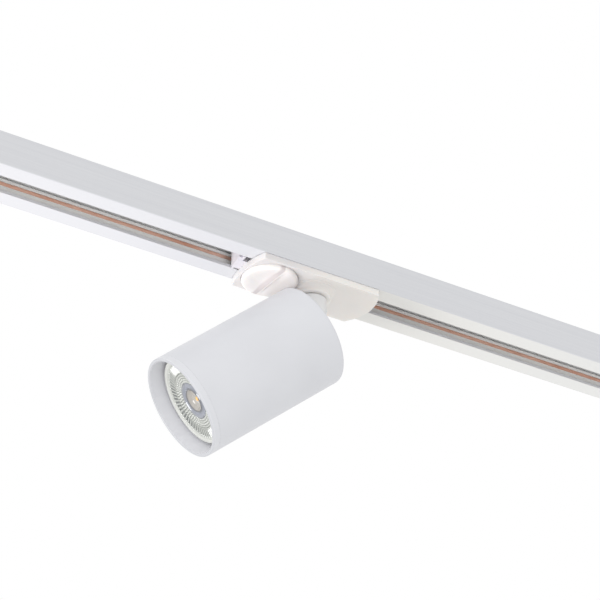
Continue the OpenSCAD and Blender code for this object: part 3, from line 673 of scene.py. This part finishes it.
def lens_piece():
    """The optic, built ring by ring in the head's frame with its relief as geometry."""
    low, _, radius = head_span("lamp_lens")
    edge = radius / MM
    face = head_span("lamp_bezel")[1] / MM - 0.5
    floor = face - BOWL_DEPTH
    back = low / MM + 0.1
    rings = [(r, floor + dome_height(r)) for r in (0, 0.35, 0.7, 1.0, 1.2)]
    rings += [
        (DOME_RADIUS, floor), (2.2, floor - 0.05), (3.4, floor), (BOWL_FLOOR - 0.4, floor + 0.15),
        (BOWL_FLOOR, floor + 0.5), (BOWL_EDGE - 0.4, face - 0.5), (BOWL_EDGE - 0.2, face - 0.1),
    ]
    for i in range(LENS_STEPS + 1):
        r = BOWL_EDGE + (GLASS_EDGE - BOWL_EDGE) * i / LENS_STEPS
        ring = []
        for k in range(LENS_TURNS):
            turn = k / LENS_TURNS
            relief = prism_height(r, turn) + pearl_height(r, turn) + throat_height(r)
            ring.append((r, face + relief))
        rings.append(ring)
    rings += [(edge, face - 0.2), (edge, face - 2.2), (edge - 8, back), (0, back)]
    mesh = skin(rings, LENS_TURNS, closed=False)
    mesh.name = "lamp_optic"
    shade(mesh, 25)
    looks["lens_clear"] = lens_plastic(face)
    made = piece("lamp_optic", mesh, "lamp", "lens_clear", HEAD)
    mesh.materials.append(looks["led_phosphor"])
    for polygon in mesh.polygons:
        x, y, z = polygon.center / MM
        if math.hypot(x, y) < DOME_RADIUS - 0.05 and z > floor - 0.1:
            polygon.material_index = 1
    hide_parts("lamp_lens")
    return made


def bezel_piece():
    """Flat outer ring of the lamp, with a soft outer edge, sloping gently in to the optic."""
    low, high, radius = head_span("lamp_bezel")
    face, foot, edge = high / MM, low / MM, radius / MM
    rings = [
        (GLASS_EDGE, face - 0.75), (GLASS_EDGE + 0.15, face - 0.35), (GLASS_EDGE + 0.5, face - 0.22),
        (edge - 0.9, face), (edge - 0.5, face - 0.04), (edge - 0.2, face - 0.16),
        (edge - 0.05, face - 0.35), (edge, face - 0.6), (edge, foot), (edge - 0.75, foot),
        (edge - 0.75, face - 1.3), (GLASS_EDGE, face - 1.3),
    ]
    mesh = skin(rings, BEZEL_TURNS)
    mesh.name = "lamp_rim"
    shade(mesh, 50)
    made = piece("lamp_rim", mesh, "lamp", "bezel_plastic", HEAD)
    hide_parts("lamp_bezel")
    return made


# ---------- Build ----------

looks = {
    "track_paint": track_paint(),
    "insulator_plastic": insulator_plastic(),
    "copper": copper(),
    "cap_plastic": moulded_plastic("cap_plastic", srgb(226, 226, 228), srgb(221, 221, 223), 0.4),
    "cover_plastic": cover_plastic(),
    "knob_plastic": knob_plastic(),
    "insert_plastic": moulded_plastic(
        "insert_plastic", srgb(229, 225, 231), srgb(222, 218, 225), 0.38, glow=0.1
    ),
    "rotor_plastic": moulded_plastic("rotor_plastic", srgb(70, 70, 72), srgb(60, 60, 62), 0.45),
    "brass": plain_metal("brass", srgb(214, 176, 104), srgb(178, 138, 70), 0.3),
    "zinc_steel": plain_metal("zinc_steel", srgb(196, 198, 202), srgb(158, 160, 165), 0.32),
    "nylon": moulded_plastic("nylon", srgb(230, 229, 222), srgb(220, 219, 212), 0.5, glow=0.1),
    "lead_silicone": silicone_sleeve(),
    "stem_paint": paint("stem_paint", srgb(228, 228, 228), srgb(225, 225, 225), 0.4),
    "head_paint": tube_paint("head_paint", srgb(217, 218, 222), srgb(213, 214, 218)),
    # ring_paint is a little paler than head_paint: painted light on the front ring.
    "ring_paint": tube_paint("ring_paint", srgb(219, 220, 224), srgb(216, 217, 221)),
    "hub_paint": paint("hub_paint", srgb(216, 217, 220), srgb(211, 212, 215), 0.42),
    "holder_ceramic": ceramic(),
    "lamp_plastic": moulded_plastic("lamp_plastic", srgb(214, 216, 210), srgb(208, 210, 203), 0.4),
    "bezel_plastic": moulded_plastic(
        "bezel_plastic", srgb(199, 200, 196), srgb(192, 193, 188), 0.35
    ),
    "board_metal": board_laminate("board_metal", srgb(226, 227, 222), srgb(218, 219, 214)),
    "led_phosphor": phosphor(),
    "driver_laminate": board_laminate("driver_laminate", srgb(52, 104, 68), srgb(40, 88, 56)),
    "pin_nickel": plain_metal("pin_nickel", srgb(206, 204, 196), srgb(170, 168, 160), 0.2),
}

# Edge rounding of each CAD node that keeps its shape: width in mm and segments
ROUNDING = {
    "track_profile": (0.3, 3),
    "insulator_live": (0.2, 2),
    "insulator_neutral": (0.2, 2),
    "conductor_live": (0.15, 2),
    "conductor_neutral": (0.15, 2),
    "end_cap_left": (0.4, 3),
    "end_cap_right": (0.4, 3),
    "end_cap_screws": (0.3, 3),
    "contact_housing": (0.25, 2),
    "adapter_screws": (0.2, 2),
    "live_spring_contact": (0.1, 2),
    "neutral_spring_contact": (0.1, 2),
    "lock_cam": (0.2, 2),
    "contact_rotor": (0.2, 2),
    "live_blade": (0.2, 2),
    "neutral_blade": (0.2, 2),
    "rotor_screw": (0.15, 2),
    "swivel_stem": (0.25, 3),
    "swivel_washer": (0.1, 2),
    "swivel_nut": (0.2, 2),
    "head_shell": (0.1, 2),
    "head_ring": (0.1, 2),
    "hinge_block": (0.35, 3),
    "hinge_block_screws": (0.2, 2),
    "tilt_screw": (0.3, 2),
    "tilt_nut": (0.25, 2),
    "tilt_washers": (0.05, 2),
    "holder_bracket": (0.3, 2),
    "bracket_screws": (0.12, 2),
    "lampholder": (0.3, 2),
    "holder_screws": (0.25, 2),
    "lamp_housing": (0.2, 2),
    "led_board": (0.15, 2),
    "led_package": (0.2, 3),
    "driver_board": (0.15, 2),
    "lamp_base": (0.4, 3),
    "lamp_pins": (0.4, 3),
}

for node, (width, segments) in ROUNDING.items():
    rounded(node, [(anywhere, width * MM, segments)])

knob_radius = (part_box("lock_knob")[1].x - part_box("lock_knob")[0].x) / 2
COLLAR_REACH = 12 * MM
COVER_RIM = 0.7 * MM
COVER_EDGE = 0.3 * MM


def on_cover_rim(point):
    """True on the cover's outer edges, and not on those of the knob's pocket or the collar."""
    from_knob = math.hypot(point.x - knob_axis.x, point.y)
    from_pan = math.hypot(point.x, point.y)
    return from_knob > knob_radius + 0.6 * MM and from_pan > COLLAR_REACH


rounded("adapter_cover", [(on_cover_rim, COVER_RIM, 6), (anywhere, COVER_EDGE, 3)])
knob_piece()
lens_piece()
bezel_piece()

# These keep the CAD mesh
for node in ("earth_spring", "adapter_leads", "stem_leads", "head_leads"):
    frame["nodes"][node].data.materials.clear()
    frame["nodes"][node].data.materials.append(looks[slot_of[node]])

# ---------- Stage, light and camera ----------

FLOOR_DROP = 2.6
FLOOR_SIDE = 14.0

# The camera looks up at the adapter from in front and to the left
CAMERA_TARGET = Vector((-7.5, 0.0, -31.1)) * MM
CAMERA_AZIMUTH = -33.09
CAMERA_ELEVATION = -29.98
CAMERA_DISTANCE = 1.359
CAMERA_LENS = 148.55


def pale_floor():
    """A wide floor, far below the track."""
    work = bmesh.new()
    bmesh.ops.create_grid(work, x_segments=24, y_segments=24, size=FLOOR_SIDE / 2)
    mesh = bpy.data.meshes.new("floor")
    work.to_mesh(mesh)
    work.free()
    mesh.materials.append(floor_paint())
    floor = bpy.data.objects.new("floor", mesh)
    floor.location = (0, 0, -FLOOR_DROP)
    bpy.context.scene.collection.objects.link(floor)


def soft_light(name, direction, distance, size, power):
    """Large area light that looks at the object from a direction."""
    light = bpy.data.lights.new(name, "AREA")
    light.shape = "DISK"
    light.size = size
    light.energy = power
    lamp = bpy.data.objects.new(name, light)
    towards = Vector(direction).normalized()
    lamp.location = CAMERA_TARGET + towards * distance
    lamp.rotation_euler = towards.to_track_quat("Z", "Y").to_euler()
    lamp.visible_camera = False
    bpy.context.scene.collection.objects.link(lamp)


def photo_camera():
    """A long lens at the photo's angle."""
    azimuth = math.radians(CAMERA_AZIMUTH)
    elevation = math.radians(CAMERA_ELEVATION)
    back = Vector((
        math.sin(azimuth) * math.cos(elevation),
        -math.cos(azimuth) * math.cos(elevation),
        math.sin(elevation),
    ))
    data = bpy.data.cameras.new("camera")
    data.lens = CAMERA_LENS
    data.sensor_width = 36.0
    data.clip_start = 0.01
    data.clip_end = 50.0
    camera = bpy.data.objects.new("camera", data)
    camera.location = CAMERA_TARGET + back * CAMERA_DISTANCE
    camera.rotation_euler = back.to_track_quat("Z", "Y").to_euler()
    bpy.context.scene.collection.objects.link(camera)
    bpy.context.scene.camera = camera


def white_surround():
    """Even white light from all round."""
    world = bpy.data.worlds.new("studio")
    world.use_nodes = True
    background = world.node_tree.nodes["Background"]
    background.inputs["Color"].default_value = (1.0, 1.0, 1.0, 1.0)
    background.inputs["Strength"].default_value = 1.0
    bpy.context.scene.world = world
    bpy.context.scene.view_settings.view_transform = "Standard"


pale_floor()
white_surround()
soft_light("key", direction=(-0.85, 0.06, -0.55), distance=2.0, size=1.2, power=24.0)
photo_camera()
